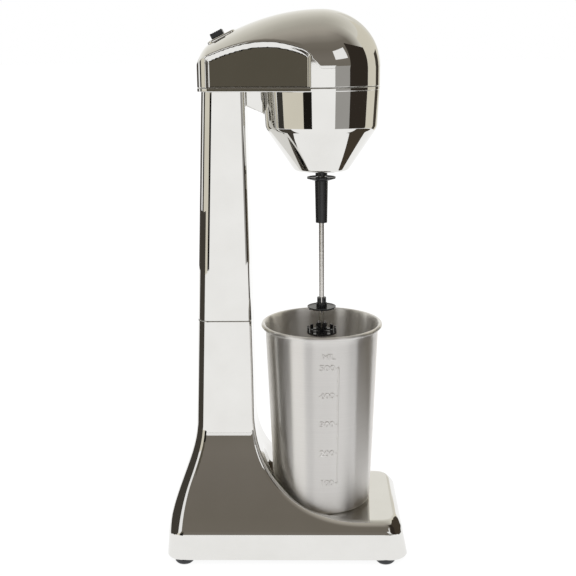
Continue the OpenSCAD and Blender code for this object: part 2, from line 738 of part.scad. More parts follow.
agitator_r = 10.8;
module upper_agitator() {
  color([0.06, 0.06, 0.07]) at_spindle() difference() {
    union() {
      gripping_hub(upper_agitator_z, 8.4);
      translate([0, 0, upper_agitator_z]) rotate_extrude() polygon([[2.2, 0], [9.6, 0], [agitator_r, 0.9],
        [agitator_r, 1.6], [9.6, 1.1], [2.2, 1.1]]);
      ring_of(4, 7) translate([-2.4, -0.5, upper_agitator_z - 1.3]) cube([5, 1, 1.5]);
    }
    translate([0, 0, upper_agitator_z - 2]) cylinder(h = 20, r = rod_d / 2);
  }
}

module lower_agitator() {
  color([0.06, 0.06, 0.07]) at_spindle() difference() {
    union() {
      gripping_hub(lower_agitator_z, 8.6);
      difference() {
        translate([0, 0, lower_agitator_z]) cylinder(h = 1.3, r = agitator_r);
        ring_of(6, 6.6, 30) translate([0, 0, lower_agitator_z - 1]) cylinder(h = 4, r = 1.9);
      }
      difference() {
        translate([0, 0, lower_agitator_z]) cylinder(h = 4.6, r = agitator_r + 0.4);
        translate([0, 0, lower_agitator_z - 1]) cylinder(h = 8, r = agitator_r - 0.5);
        ring_of(12, agitator_r) translate([-2, -1.5, lower_agitator_z + 1.3]) cube([4, 3, 6]);
      }
    }
    translate([0, 0, lower_agitator_z + 1.4]) cylinder(h = 20, r = rod_d / 2);
  }
}

// ---- cup ----------------------------------------------------------------------------

cup_z = deck_z + 0.1;
rim_r = 1.55;
module cup() {
  h = cup_h - rim_r;
  rb = cup_bottom_r;
  rt = cup_top_r;
  color([0.75, 0.75, 0.75]) at_spindle() translate([0, 0, cup_z]) union() {
    rotate_extrude($fn = 128) polygon([[0, 1.2], [rb - 6, 1.2], [rb - 4.6, 0], [rb - 2.4, 0],
      [rb - 0.7, 0.7], [rb, 2.4], [rt, h - 1.2], [rt + 1, h], [rt + 1 - cup_t, h + 0.35],
      [rt - cup_t, h - 0.9], [rb - cup_t, 2.6], [rb - 1.2, 1.4], [rb - 2.8, cup_t],
      [rb - 4.4, cup_t], [rb - 5.8, 1.2 + cup_t], [0, 1.2 + cup_t]]);
    translate([0, 0, h]) rotate_extrude($fn = 128) translate([rt + 1.5, 0]) circle(r = rim_r, $fn = 32);
  }
}

// ---- one line for each node -------------------------------------------------------------

base_shell();
base_plate();
base_plate_screws();
foot(foot_front_x, foot_y);  // foot_front_left
foot(foot_front_x, -foot_y);  // foot_front_right
foot(foot_rear_x, foot_y);  // foot_rear_left
foot(foot_rear_x, -foot_y);  // foot_rear_right
cord_bushing();
lead_clamp();
internal_lead();
column_shell();
column_screws();
head_housing();
head_cover();
head_cover_screws();
switch_plate();
switch_body();
switch_terminals();
switch_screws();
switch_knob();
speed_diode();
suppression_capacitor();
stator_core();
field_coil(1);  // field_coil_left
field_coil(-1);  // field_coil_right
lower_bearing_bracket();
upper_bearing_bracket();
bush(lower_bracket_z - 2, 8);  // lower_bearing
bush(upper_bracket_z - 1.4, 7.4);  // upper_bearing
motor_screws();
motor_mount_ring();
nose_seal();
brush_holder(1);  // brush_holder_left
brush_holder(-1);  // brush_holder_right
carbon_brush(1);  // carbon_brush_left
carbon_brush(-1);  // carbon_brush_right
brush_spring(1);  // brush_spring_left
brush_spring(-1);  // brush_spring_right
motor_shaft();
rotor_core();
rotor_winding();
commutator();
cooling_fan();
spindle_sleeve();
spindle_rod();
upper_agitator();
lower_agitator();
cup();
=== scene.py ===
# %% [markdown]
# # A bench milkshake mixer
# A broad chromed base sweeps up into a slim column. The column carries a domed motor head,
# and a spindle with two agitators hangs from the head into a brushed steel mixing cup.
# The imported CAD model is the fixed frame: every piece here stands where the CAD says.

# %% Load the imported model
import math
import bpy
import numpy as np
from mathutils import Matrix, Vector


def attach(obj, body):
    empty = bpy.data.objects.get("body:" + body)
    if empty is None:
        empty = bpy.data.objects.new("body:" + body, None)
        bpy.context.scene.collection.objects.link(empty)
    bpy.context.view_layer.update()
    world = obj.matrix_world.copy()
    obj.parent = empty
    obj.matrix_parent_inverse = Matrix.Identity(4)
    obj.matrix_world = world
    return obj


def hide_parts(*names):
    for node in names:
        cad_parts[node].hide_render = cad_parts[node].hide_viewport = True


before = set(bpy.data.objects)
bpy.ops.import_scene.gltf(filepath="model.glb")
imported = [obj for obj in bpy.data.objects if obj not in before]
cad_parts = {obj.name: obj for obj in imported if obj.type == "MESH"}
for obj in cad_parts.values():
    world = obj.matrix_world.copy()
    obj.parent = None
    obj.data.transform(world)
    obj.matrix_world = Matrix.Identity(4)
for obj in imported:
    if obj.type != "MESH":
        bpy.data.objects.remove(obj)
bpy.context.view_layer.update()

MM = 0.001

# %% [markdown]
# ## Shader maths in plain Python
# A finish is easier to read as an expression than as a tangle of wires. `Field` wraps one
# socket, so that `1 - mask * 0.3` adds its own Math nodes, and `Finish.node` makes any other
# node: its settings go first, then the values or links of its inputs.

# %% The two small classes that every finish is written with
class Field:
    """A value that varies over a surface."""

    def __init__(self, finish, socket):
        self.finish = finish
        self.socket = socket

    def maths(self, operation, first, second):
        node = self.finish.node("Math", {"operation": operation}, {0: first, 1: second})
        return Field(self.finish, node.outputs[0])

    def __add__(self, other):
        return self.maths("ADD", self, other)

    def __sub__(self, other):
        return self.maths("SUBTRACT", self, other)

    def __rsub__(self, other):
        return self.maths("SUBTRACT", other, self)

    def __mul__(self, other):
        return self.maths("MULTIPLY", self, other)

    __radd__ = __add__
    __rmul__ = __mul__


class Finish:
    """A material that is built from nodes."""

    def __init__(self, name, constants):
        self.material = bpy.data.materials.new(name)
        self.material.use_nodes = True
        self.tree = self.material.node_tree
        self.shader = self.tree.nodes["Principled BSDF"]
        for socket, value in constants.items():
            self.shader.inputs[socket].default_value = value
        self.place = Field(self, self.node("TexCoord", {}, {}).outputs["Object"])

    def node(self, kind, settings, inputs):
        node = self.tree.nodes.new("ShaderNode" + kind)
        for name, value in settings.items():
            if name == "stops":
                stops = node.color_ramp.elements
                while len(stops) < len(value):
                    stops.new(0.5)
                for stop, (position, colour) in zip(stops, value):
                    stop.position = position
                    stop.color = (*colour, 1.0)
            else:
                setattr(node, name, value)
        for name, value in inputs.items():
            if isinstance(value, Field):
                self.tree.links.new(value.socket, node.inputs[name])
            else:
                node.inputs[name].default_value = value
        return node

    def grain(self, scale, stretch=(1, 1, 1), detail=3.0):
        """Soft noise from 0 to 1; stretch above 1 packs it tighter along that axis."""
        mapping = self.node("Mapping", {}, {"Vector": self.place, "Scale": stretch})
        noise = self.node("TexNoise", {}, {"Vector": Field(self, mapping.outputs[0]),
                                           "Scale": scale, "Detail": detail})
        return Field(self, noise.outputs[0])

    def colour(self, factor, *stops):
        ramp = self.node("ValToRGB", {"stops": stops}, {0: factor})
        self.feed("Base Color", Field(self, ramp.outputs[0]))

    def relief(self, height, distance):
        bump = self.node("Bump", {}, {"Height": height, "Distance": distance})
        self.feed("Normal", Field(self, bump.outputs[0]))

    def feed(self, socket, field):
        self.tree.links.new(field.socket, self.shader.inputs[socket])


# %% [markdown]
# ## The finishes
# Chrome plating on moulded plastic is a clean mirror, very slightly warm, with the faint long
# waves of the moulding below it. A mirror shows any waviness, so its relief is microns deep.
# The cup is steel brushed round its axis, so its scratches are rings, and the mirror image in
# them smears up and down. Rubber and plastic are told apart by gloss and by grain size.

# %% Chrome plate
chrome = Finish("chrome_plate", {"Metallic": 1.0, "IOR": 2.5})
waves = chrome.grain(18.0, detail=1.0)
smudge = chrome.grain(45.0, detail=4.0)
chrome.colour(smudge, (0.3, (0.745, 0.737, 0.712)), (0.7, (0.775, 0.768, 0.745)))
chrome.feed("Roughness", smudge * 0.03 + 0.008)
chrome.relief(waves, 0.00002)

# %% Brushed steel of the cup, and the turned steel of the spindle
cup_steel = Finish("brushed_cup_steel",
                   {"Metallic": 1.0, "Anisotropic": 1.0, "Anisotropic Rotation": 0.25})
rings = cup_steel.grain(12.0, (1, 1, 130), 3.0)
fine_rings = cup_steel.grain(30.0, (1, 1, 160), 2.0)
cup_steel.colour(rings * 0.5 + fine_rings * 0.5,
                 (0.3, (0.80, 0.785, 0.765)), (0.7, (0.84, 0.825, 0.805)))
cup_steel.feed("Roughness", fine_rings * 0.05 + 0.33)
cup_steel.relief(fine_rings, 0.000004)

rod_steel = Finish("polished_rod_steel", {"Metallic": 1.0})
turning = rod_steel.grain(220.0, (1, 1, 8), 3.0)
rod_steel.colour(turning, (0.3, (0.55, 0.53, 0.50)), (0.7, (0.70, 0.68, 0.65)))
rod_steel.feed("Roughness", turning * 0.15 + 0.1)
rod_steel.relief(turning, 0.00003)


# %% A helper for plain metals, and one for moulded plastics and rubbers
def metal(name, dark, light, roughness, grain_scale=90.0):
    finish = Finish(name, {"Metallic": 1.0})
    spots = finish.grain(grain_scale, detail=5.0)
    finish.colour(spots, (0.3, dark), (0.7, light))
    finish.feed("Roughness", spots * 0.2 + (roughness - 0.1))
    finish.relief(spots, 0.00005)
    return finish


def moulded(name, dark, light, roughness, grain_scale, depth):
    finish = Finish(name, {})
    pits = finish.grain(grain_scale, detail=4.0)
    finish.colour(finish.grain(35.0), (0.3, dark), (0.7, light))
    finish.feed("Roughness", pits * 0.16 + (roughness - 0.08))
    finish.relief(pits, depth)
    return finish


black = moulded("black_plastic",
                (0.006, 0.006, 0.007), (0.012, 0.012, 0.013), 0.28, 700.0, 0.00002)
base_black = moulded("base_plastic",
                     (0.012, 0.012, 0.013), (0.022, 0.022, 0.023), 0.5, 900.0, 0.00006)
foot_rubber = moulded("foot_rubber",
                      (0.008, 0.009, 0.011), (0.018, 0.020, 0.024), 0.42, 1200.0, 0.00003)
mount_rubber = moulded("mount_rubber",
                       (0.014, 0.014, 0.015), (0.025, 0.025, 0.026), 0.75, 800.0, 0.00005)
lead_sheath = moulded("lead_sheath",
                      (0.015, 0.015, 0.016), (0.024, 0.024, 0.025), 0.5, 600.0, 0.00003)
phenolic = moulded("phenolic", (0.09, 0.035, 0.015), (0.14, 0.06, 0.025), 0.45, 500.0, 0.00004)
carbon = moulded("carbon", (0.012, 0.012, 0.012), (0.035, 0.035, 0.036), 0.65, 1500.0, 0.00006)
fan_plastic = moulded("fan_plastic", (0.52, 0.51, 0.47), (0.60, 0.59, 0.55), 0.4, 600.0, 0.00003)
switch_plastic = moulded("switch_plastic",
                         (0.010, 0.010, 0.011), (0.018, 0.018, 0.019), 0.4, 800.0, 0.00003)
capacitor_epoxy = moulded("capacitor_epoxy",
                          (0.30, 0.16, 0.02), (0.42, 0.24, 0.04), 0.3, 400.0, 0.00005)
screw_steel = metal("screw_steel", (0.42, 0.41, 0.40), (0.58, 0.57, 0.55), 0.3)
lamination = metal("lamination_steel", (0.22, 0.22, 0.23), (0.36, 0.36, 0.37), 0.45)
brass = metal("terminal_brass", (0.70, 0.47, 0.17), (0.86, 0.62, 0.27), 0.3)
bronze = metal("bearing_bronze", (0.48, 0.28, 0.12), (0.62, 0.38, 0.18), 0.4)
bracket_alloy = metal("bracket_alloy", (0.50, 0.50, 0.51), (0.66, 0.66, 0.67), 0.4)
copper = metal("enamelled_copper", (0.48, 0.17, 0.06), (0.72, 0.30, 0.12), 0.3, 300.0)
windings = copper.node("TexWave", {"bands_direction": "Z"},
                       {"Vector": copper.place, "Scale": 380.0})
copper.relief(Field(copper, windings.outputs[1]), 0.0002)
slices = lamination.node("TexWave", {"bands_direction": "Z"},
                         {"Vector": lamination.place, "Scale": 320.0})
lamination.relief(Field(lamination, slices.outputs[1]), 0.0001)

# %% Dress every CAD node in the finish of its slot
slot_finishes = {
    "chrome_plate": chrome, "black_plastic": black, "base_plastic": base_black,
    "foot_rubber": foot_rubber, "mount_rubber": mount_rubber, "lead_sheath": lead_sheath,
    "rod_steel": rod_steel, "cup_steel": cup_steel, "screw_steel": screw_steel,
    "lamination_steel": lamination, "copper": copper, "terminal_brass": brass,
    "bearing_bronze": bronze, "bracket_alloy": bracket_alloy, "phenolic": phenolic,
    "carbon": carbon, "fan_plastic": fan_plastic, "switch_plastic": switch_plastic,
    "capacitor_epoxy": capacitor_epoxy}
for name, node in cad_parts.items():
    for material_slot in node.material_slots:
        packed_name = material_slot.material.name if material_slot.material else ""
        finish = slot_finishes[[s for s in slot_finishes if packed_name.startswith(s)][0]]
        material_slot.material = finish.material
print("dressed", len(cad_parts), "CAD nodes")

# %% [markdown]
# ## Mirror surfaces from a rule
# The base, the head and its cover are blended mouldings: faces run into each other through
# round edges, and a mirror shows the smallest fault in them. A cage of hand-placed points would
# ripple. Here each moulding is a rule instead, a function that is negative inside and positive
# outside, put together from simple faces with round blends. `skin` walks a grid, finds where
# the rule changes sign, and pulls every point exactly onto the surface. The rule's own slope
# then gives each point its shading normal, so the reflections are as smooth as the rule.

# %% Round blends between faces, and the skinning of a rule
def clamp(value, low, high):
    return np.minimum(high, np.maximum(low, value))


def ease(value):
    part = clamp(value, 0.0, 1.0)
    return part * part * (3.0 - 2.0 * part)


def both(a, b, radius):
    """Inside both rules, with the edge between them rounded."""
    corner = np.hypot(np.maximum(a + radius, 0), np.maximum(b + radius, 0))
    return np.minimum(np.maximum(a, b), -radius) + corner


def either(a, b, radius):
    """Inside one rule or the other, with a fillet between them."""
    return -both(-a, -b, radius)


def slope(rule, points, step=0.02):
    """The gradient of a rule at each point."""
    sides = []
    for axis in range(3):
        shift = np.zeros(3)
        shift[axis] = step
        sides.append((rule(*(points + shift).T) - rule(*(points - shift).T)) / (2 * step))
    return np.stack(sides, 1)


EDGE_LINES = (-0.9, -0.5, -0.2, 0.1, 0.4, 0.9)   # extra grid positions round a crisp edge
EDGE_REACH = 0.9
PULLS = 4                                        # steps that bring each point onto the surface
CELL = np.array([(i, j, k) for i in (0, 1) for j in (0, 1) for k in (0, 1)])


def grid_line(low, high, pitch, edges=()):
    """Grid positions along one axis, packed closer where the moulding has a crisp edge."""
    line = list(np.arange(low, high + pitch, pitch))
    for edge in edges:
        line = [v for v in line if abs(v - edge) > EDGE_REACH] + [edge + d for d in EDGE_LINES]
    return np.array(sorted(line))


def crossings(value, active):
    """For each active cell, the mean of the places where the rule crosses zero on its edges."""
    cells = np.argwhere(active)
    corner = np.stack([value[tuple((cells + c).T)] for c in CELL], 1)
    total, count = np.zeros((len(cells), 3)), np.zeros(len(cells))
    for a in range(8):
        for axis, step in enumerate((4, 2, 1)):
            if CELL[a][axis] == 0:
                va, vb = corner[:, a], corner[:, a + step]
                crossed = (va < 0) != (vb < 0)
                along = np.where(crossed, va / np.where(crossed, va - vb, 1.0), 0.0)
                point = CELL[a] + along[:, None] * np.eye(3)[axis]
                total += crossed[:, None] * point
                count += crossed
    return cells + total / count[:, None]


def skin(rule, low, high, pitch, edges=()):
    """Points, quads and normals of the surface where the rule is zero, in millimetres."""
    axes = [grid_line(low[axis], high[axis], pitch, edges if axis == 2 else ())
            for axis in range(3)]
    value = rule(*np.meshgrid(*axes, indexing="ij"))
    inside = value < 0
    n = np.array(inside.shape) - 1
    filled = sum(inside[i:i + n[0], j:j + n[1], k:k + n[2]].astype(np.int8) for i, j, k in CELL)
    active = (filled > 0) & (filled < 8)
    number = np.full(active.shape, -1)
    number[active] = np.arange(active.sum())
    places = crossings(value, active)
    points = np.stack([np.interp(places[:, a], np.arange(len(axes[a])), axes[a])
                       for a in range(3)], 1)
    quads = []
    for axis in range(3):
        a, b = (axis + 1) % 3, (axis + 2) % 3
        here = np.moveaxis(inside, (axis, a, b), (0, 1, 2))
        cell = np.moveaxis(number, (axis, a, b), (0, 1, 2))
        change = (here[:-1] != here[1:])[:, 1:-1, 1:-1]
        i, j, k = np.argwhere(change).T
        quad = np.stack([cell[i, j, k], cell[i, j + 1, k],
                         cell[i, j + 1, k + 1], cell[i, j, k + 1]], 1)
        backwards = ~here[i, j + 1, k + 1]
        quad[backwards] = quad[backwards][:, ::-1]
        quads.append(quad)
    longest = 0.4 * pitch
    for _ in range(PULLS):
        grade = slope(rule, points)
        step = rule(*points.T)[:, None] * grade / np.maximum((grade ** 2).sum(1), 1e-3)[:, None]
        points -= clamp(step, -longest, longest)
    grade = slope(rule, points)
    return points, np.concatenate(quads), grade / np.linalg.norm(grade, axis=1)[:, None]


def piece(name, points, faces, finish, body, replaced=(), normals=None):
    """A finished mesh, from millimetres, that rides on its body and stands for CAD nodes."""
    mesh = bpy.data.meshes.new(name)
    mesh.from_pydata((np.array(points) * MM).tolist(), [], [list(map(int, f)) for f in faces])
    mesh.validate()
    mesh.polygons.foreach_set("use_smooth", [True] * len(mesh.polygons))
    if normals is not None:
        mesh.normals_split_custom_set_from_vertices(normals.tolist())
    mesh.materials.append(finish.material)
    shape = bpy.data.objects.new(name, mesh)
    bpy.context.scene.collection.objects.link(shape)
    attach(shape, body)
    if replaced:
        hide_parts(*replaced)
    triangles = sum(len(p.vertices) - 2 for p in mesh.polygons)
    print(f"{name}: {len(mesh.vertices)} points, {triangles} triangles")


# %% [markdown]
# ## The base
# The base is a tray with upright sides. Above the band its flanks sweep in to the column, its
# rear curves up in a slow S, and its front is scooped out: the scoop is a superellipse, so it
# leaves the column tangentially and lands flat on the deck. A round well sunk in the scoop lets
# the cup stand close to the column. The shell is hollow, as a plated moulding is.

# %% Sizes and side rules of the base and column
BASE_LENGTH, BASE_WIDTH, FOOT, BAND, DECK = 183.0, 108.0, 4.0, 25.0, 33.0
COLUMN_WIDTH, JOINT, COLUMN_TOP, WALL = 41.0, 181.6, 349.8, 2.4
SPINDLE = 27.0
SCOOP_X, SCOOP_Z, SCOOP_A, SCOOP_N = 60.0, 110.0, 85.0, 2.3
SCOOP_B = SCOOP_Z - DECK


def flare_start(down):
    """The first part of the flank's flare, against the distance below its start."""
    return FLARE_SLOPE * (np.sqrt(down ** 2 + FLARE_BLEND ** 2) - FLARE_BLEND)


FLARE_Z, FLARE_SLOPE, FLARE_BLEND = 98.0, 0.28, 6.0
FLARE_GAIN = ((BASE_WIDTH - COLUMN_WIDTH) / 2 - flare_start(FLARE_Z - BAND)) / (FLARE_Z - BAND) ** 2


def flank_half(z):
    down = np.maximum(0, FLARE_Z - z)
    return COLUMN_WIDTH / 2 + flare_start(down) + FLARE_GAIN * down ** 2


REAR_X, REAR_FLARE_Z, REAR_FLARE_H = 69.6, 100, 80
REAR_TOE, REAR_TOE_Z, REAR_TOE_H = 1.5, 20, 16
REAR_LEAN, REAR_LEAN_Z = 0.0415, 95
FRONT_LEAN, LEAN_BLEND = 0.0123, 40
FRONT_SLOPE = 0.2
REAR_CORNER, COLUMN_FRONT_CORNER, BASE_FRONT_CORNER = 9, 4, 14.0
WELL_R, WELL_DRAFT = 42, 0.07
INLET_R, INLET_Z = 5.05, 15.0


def rear_at(z):
    flare = (BASE_LENGTH / 2 - REAR_TOE - REAR_X) * ease((REAR_FLARE_Z - z) / REAR_FLARE_H)
    toe = REAR_TOE * clamp((REAR_TOE_Z - z) / REAR_TOE_H, 0, 1)
    return -REAR_X - flare - toe + REAR_LEAN * np.maximum(0, z - REAR_LEAN_Z)


def straightened(distance, edge, z):
    """A distance from an edge that leans with height, corrected for the lean."""
    lean = edge(z + 0.5) - edge(z - 0.5)
    return distance / np.sqrt(1 + lean ** 2)


def scoop(x, z):
    """Positive in the air in front of the column and above the deck."""
    high = clamp(z - SCOOP_Z, 0, LEAN_BLEND)
    x = x + FRONT_LEAN * (np.maximum(z - SCOOP_Z, 0) - high + high ** 2 / (2 * LEAN_BLEND))
    u = np.maximum(0, (SCOOP_X - x) / SCOOP_A)
    v = np.maximum(0, (SCOOP_Z - z) / SCOOP_B)
    s = np.maximum((u ** SCOOP_N + v ** SCOOP_N) ** (1 / SCOOP_N), 1e-4)
    steep = np.hypot((u / s) ** (SCOOP_N - 1) / SCOOP_A, (v / s) ** (SCOOP_N - 1) / SCOOP_B)
    return clamp((1 - s) / np.maximum(steep, 1e-3), -60, 60)


# %% The whole rule of the base, then its skin
def stand_outer(x, y, z):
    """The outside of the base and lower column, as if it had no bottom and no top."""
    flank = straightened(np.abs(y) - flank_half(z), flank_half, z)
    side = both(np.abs(y) - BASE_WIDTH / 2, flank, 1.6)
    rear = straightened(rear_at(z) - x, rear_at, z)
    plan = both(side, rear, REAR_CORNER + 4 * ease((60 - z) / 40))
    front = (x - BASE_LENGTH / 2 + FRONT_SLOPE * (z - FOOT)) / math.hypot(1, FRONT_SLOPE)
    plan = both(plan, front, BASE_FRONT_CORNER)
    rounding = 3.6 + 4.0 * ease((x - 78) / 8)
    body = both(plan, scoop(x, z), rounding)
    well_r = WELL_R + WELL_DRAFT * (z - DECK)
    well = np.minimum(well_r - np.hypot(x - SPINDLE, y), z - DECK - 0.04)
    return both(body, well, 1e-6 + 1.6 * ease((z - 34) / 5))


def base_rule(x, y, z):
    outer = stand_outer(x, y, z)
    wall = WALL + 0.8 * ease((112 - z) / 20)
    shell = np.maximum(outer, -(outer + wall))
    shell = both(shell, FOOT - z, 0.7)
    hole = INLET_R - np.hypot(y, z - INLET_Z)
    shell = np.where(x < -70, both(shell, hole, 0.4), shell)
    return both(shell, z - JOINT, 0.5)


points, quads, normals = skin(base_rule, (-94, -56.5, 2.3), (94, 56.5, 187), 1.4,
                              (FOOT, BAND, JOINT))
piece("base_shell_chrome", points, quads, chrome, "stand", ["base_shell"], normals)

# %% [markdown]
# ## The upper column
# A plain leaning tube with round corners. A rule would waste points on its flat faces, so it is
# a loft: one ring of points is carried up the outside, over the top, down the inside, and round
# the spigot that drops into the lower column.

# %% Rings of the column, and the loft that joins them
CORNER_STEPS = 9
JOINT_GAP, SPIGOT = 0.2, 14


def ring(z, inset):
    """One level of the column: points round the outline, and the way each one faces."""
    front = SCOOP_X - SCOOP_A - FRONT_LEAN * (z - SCOOP_Z - LEAN_BLEND / 2) - inset
    rear, half = rear_at(z) + inset, COLUMN_WIDTH / 2 - inset
    rear_r, front_r = REAR_CORNER - inset, max(1.0, COLUMN_FRONT_CORNER - inset)
    centres = [(front - front_r, half - front_r, front_r, 0),
               (rear + rear_r, half - rear_r, rear_r, 90),
               (rear + rear_r, rear_r - half, rear_r, 180),
               (front - front_r, front_r - half, front_r, 270)]
    angles = [(c, math.radians(c[3] + 90 * i / (CORNER_STEPS - 1)))
              for c in centres for i in range(CORNER_STEPS)]
    outline = [(c[0] + c[2] * math.cos(a), c[1] + c[2] * math.sin(a), z) for c, a in angles]
    return outline, [(math.cos(a), math.sin(a)) for c, a in angles]


def loft_loop(levels):
    """Joins closed rings in turn, and the last one back to the first."""
    n, m = len(levels[0]), len(levels)
    return [(k * n + i, k * n + (i + 1) % n,
             (k + 1) % m * n + (i + 1) % n, (k + 1) % m * n + i)
            for k in range(m) for i in range(n)]


def column_path():
    """(height, inset, tilt of the facing: 0 out, 90 up, 180 in, 270 down) of each ring."""
    low, top, edge = JOINT + JOINT_GAP, COLUMN_TOP, 0.35
    foot, slim, wide = JOINT - SPIGOT, WALL + 2.1, WALL + 0.3
    path = [(low, edge, 270), (low + edge * 0.3, edge * 0.3, 315), (low + edge, 0, 0)]
    path += [(z, 0, 0) for z in np.linspace(low + 8, top - 8, 12)]
    path += [(top - edge, 0, 0), (top - edge * 0.3, edge * 0.3, 45), (top, edge, 90)]
    path += [(top, WALL, 90), (top, WALL, 180), (low + 12, WALL, 180), (low + 8, slim, 180)]
    path += [(foot, slim, 180), (foot, slim, 270), (foot, wide, 270), (foot, wide, 0)]
    return path + [(low - 0.1, wide, 0), (low, wide, 270)]


levels, facings = [], []
for z, inset, tilt in column_path():
    outline, outward = ring(z, inset)
    levels.append(outline)
    out, rise = math.cos(math.radians(tilt)), math.sin(math.radians(tilt))
    facings += [(out * nx, out * ny, rise) for nx, ny in outward]
piece("column_shell_chrome", [p for level in levels for p in level], loft_loop(levels), chrome,
      "stand", ["column_shell"], np.array(facings))

# %% [markdown]
# ## The head
# From above, the head is a circle whose sides run off as two flat cheeks that close in towards
# the rear. The cover is a dome over the circle that draws out into a long falling ridge, and the
# cheeks slice it in a clear arch. Below the seam hang the motor's cylinder and its cone.

# %% Rules of the head
HEAD_R, SEAM, DOME_Z, DOME_H = 42.8, 352.6, 365.5, 41.0
CONE_TOP, NOSE_Z, NOSE_R = 323.0, 291.6, 19.6
TAPER = math.atan(0.17)
HEAD_REAR = -60.8
PANEL_DEPTH = 2.1
HEAD_CORNER = 8.0
BULGE, NARROWING, RIDGE_L = 1.2, 9, 106
CONE_INSET, TRAY_Z, BORE_R = 1.8, 350.0, 5.5
WEB_REAR, WEB_FRONT, WEB_LOW_Z, WEB_SLOPE = -27.8, -14.6, 333, 5.8 / 13.2


def head_plan(x, y, sunk=0.0):
    """The outline from above: a round front, flat cheeks and a rear with round corners."""
    qx, qy = x - SPINDLE, np.abs(y)
    flat = qy * math.cos(TAPER) - qx * math.sin(TAPER) - HEAD_R + sunk
    rearward = -qx * math.cos(TAPER) - qy * math.sin(TAPER)
    cheek = np.where(rearward > 0, flat, np.hypot(qx, qy) - HEAD_R)
    return both(cheek, HEAD_REAR - x, HEAD_CORNER)


def ridge_section(x):
    """Half width and relative height of the crown's round section, behind the spindle."""
    u = SPINDLE - x
    width = HEAD_R + BULGE * ease(u / 15) - NARROWING * (np.maximum(0, u - 30) / 50) ** 2
    return width, 1 - clamp(u / RIDGE_L, 0, 0.95) ** 2


def crown(x, y, z):
    """The dome and its ridge: round sections that shrink along the ridge line."""
    u = SPINDLE - x
    width, height = ridge_section(x)
    w = np.maximum(0, z - DOME_Z) / DOME_H
    return np.where(u <= 0, np.sqrt((u / HEAD_R) ** 2 + (y / HEAD_R) ** 2 + w ** 2),
                    np.sqrt((y / width) ** 2 + (w / height) ** 2)) - 1


def measured(rule, x, y, z, step=0.05):
    """A rule divided by its own slope, so that it reads in millimetres near its surface."""
    here = rule(x, y, z)
    gx = (rule(x + step, y, z) - rule(x - step, y, z)) / (2 * step)
    gy = (rule(x, y + step, z) - rule(x, y - step, z)) / (2 * step)
    gz = (rule(x, y, z + step) - rule(x, y, z - step)) / (2 * step)
    return here / np.maximum(np.sqrt(gx ** 2 + gy ** 2 + gz ** 2), 2e-3)


def cheek_panel(x, z):
    """How far each cheek is sunk below the arch that frames it."""
    width, height = ridge_section(x)
    cheek = (HEAD_R + (x - SPINDLE) * math.sin(TAPER)) / math.cos(TAPER)
    arch = DOME_Z + DOME_H * height * np.sqrt(clamp(1 - (cheek / width) ** 2, 0, 1))
    return PANEL_DEPTH * ease((arch - 0.4 - z) / 4) * ease((19.4 - x) / 1.6) * ease((x + 54) / 2)


def cover_outer(x, y, z):
    dome = both(measured(crown, x, y, z), HEAD_REAR - x, HEAD_CORNER)
    edge = 0.02 + ease((16 - x) / 4) * ease((x + 56) / 6) * ease((z - 367) / 6)
    return both(dome, head_plan(x, y, cheek_panel(x, z)), edge)


PAD_X, PAD_Z, PAD_SLOPE = -44.6, 388.6, math.radians(25.7)


def up_pad(x, z):
    """The distance up the slope of the switch frame, from its middle."""
    return (x - PAD_X) * math.cos(PAD_SLOPE) + (z - PAD_Z) * math.sin(PAD_SLOPE)


def cover_rule(x, y, z):
    outer = cover_outer(x, y, z)
    shell = np.maximum(outer, -(outer + WALL))
    opening = np.maximum(np.maximum(np.abs(up_pad(x, z)) - 9.6, np.abs(y) - 9.3), DOME_Z + 4 - z)
    shell = np.maximum(shell, -opening)
    return both(shell, SEAM + 0.15 - z, 0.7)


points, quads, normals = skin(cover_rule, (-66, -45, 350.5), (73, 45, 409), 1.1, (SEAM + 0.5,))
piece("head_cover_chrome", points, quads, chrome, "stand", ["head_cover"], normals)


# %% The lower housing: cylinder, cone, tray and web
def barrel(x, y, z):
    """The round part: a slightly tapered cylinder on a steep cone with a flat nose."""
    rho = np.hypot(x - SPINDLE, y)
    drift = CONE_INSET / (SEAM - CONE_TOP)
    wall = (rho - (HEAD_R - drift * (SEAM - z))) / math.hypot(1, drift)
    lean = (HEAD_R - CONE_INSET - NOSE_R) / (CONE_TOP - NOSE_Z)
    cone = (rho - NOSE_R - lean * (z - NOSE_Z)) / math.hypot(1, lean)
    return both(both(wall, cone, 1.0), NOSE_Z - z, 1.6)


def housing_rule(x, y, z):
    rho = np.hypot(x - SPINDLE, y)
    body = barrel(x, y, z)
    body = both(np.maximum(body, -(body + WALL)), BORE_R - rho, 0.5)
    opening = np.maximum(np.abs(y) - 14.0, np.abs(x + 44) - 12.0)
    ring_inside = HEAD_R - 2.0 - rho
    tray = np.maximum(both(head_plan(x, y), TRAY_Z - z, 0.6), ring_inside)
    tray = np.maximum(tray, -opening)
    web_edge = (WEB_LOW_Z - z + WEB_SLOPE * (WEB_FRONT - x)) / math.hypot(1, WEB_SLOPE)
    web_sides = np.maximum(np.abs(y) - 2.5, np.maximum(WEB_REAR - x, x + 10))
    web = np.maximum(both(web_sides, web_edge, 0.6), ring_inside)
    body = either(np.minimum(body, tray), web, 1.0)
    return both(body, z - SEAM, 0.4)


points, quads, normals = skin(housing_rule, (-66, -45, 289), (73, 45, 354.5), 1.1,
                              (NOSE_Z + 0.3, CONE_TOP, TRAY_Z, SEAM - 0.3))
piece("head_housing_chrome", points, quads, chrome, "stand", ["head_housing"],
      normals)

# %% [markdown]
# ## The switch
# A chrome frame sits in the slope of the cover, and a small ribbed knob slides in it. Both are
# small blended shapes, so the same rules serve, on a finer grid and in the frame of the slope.

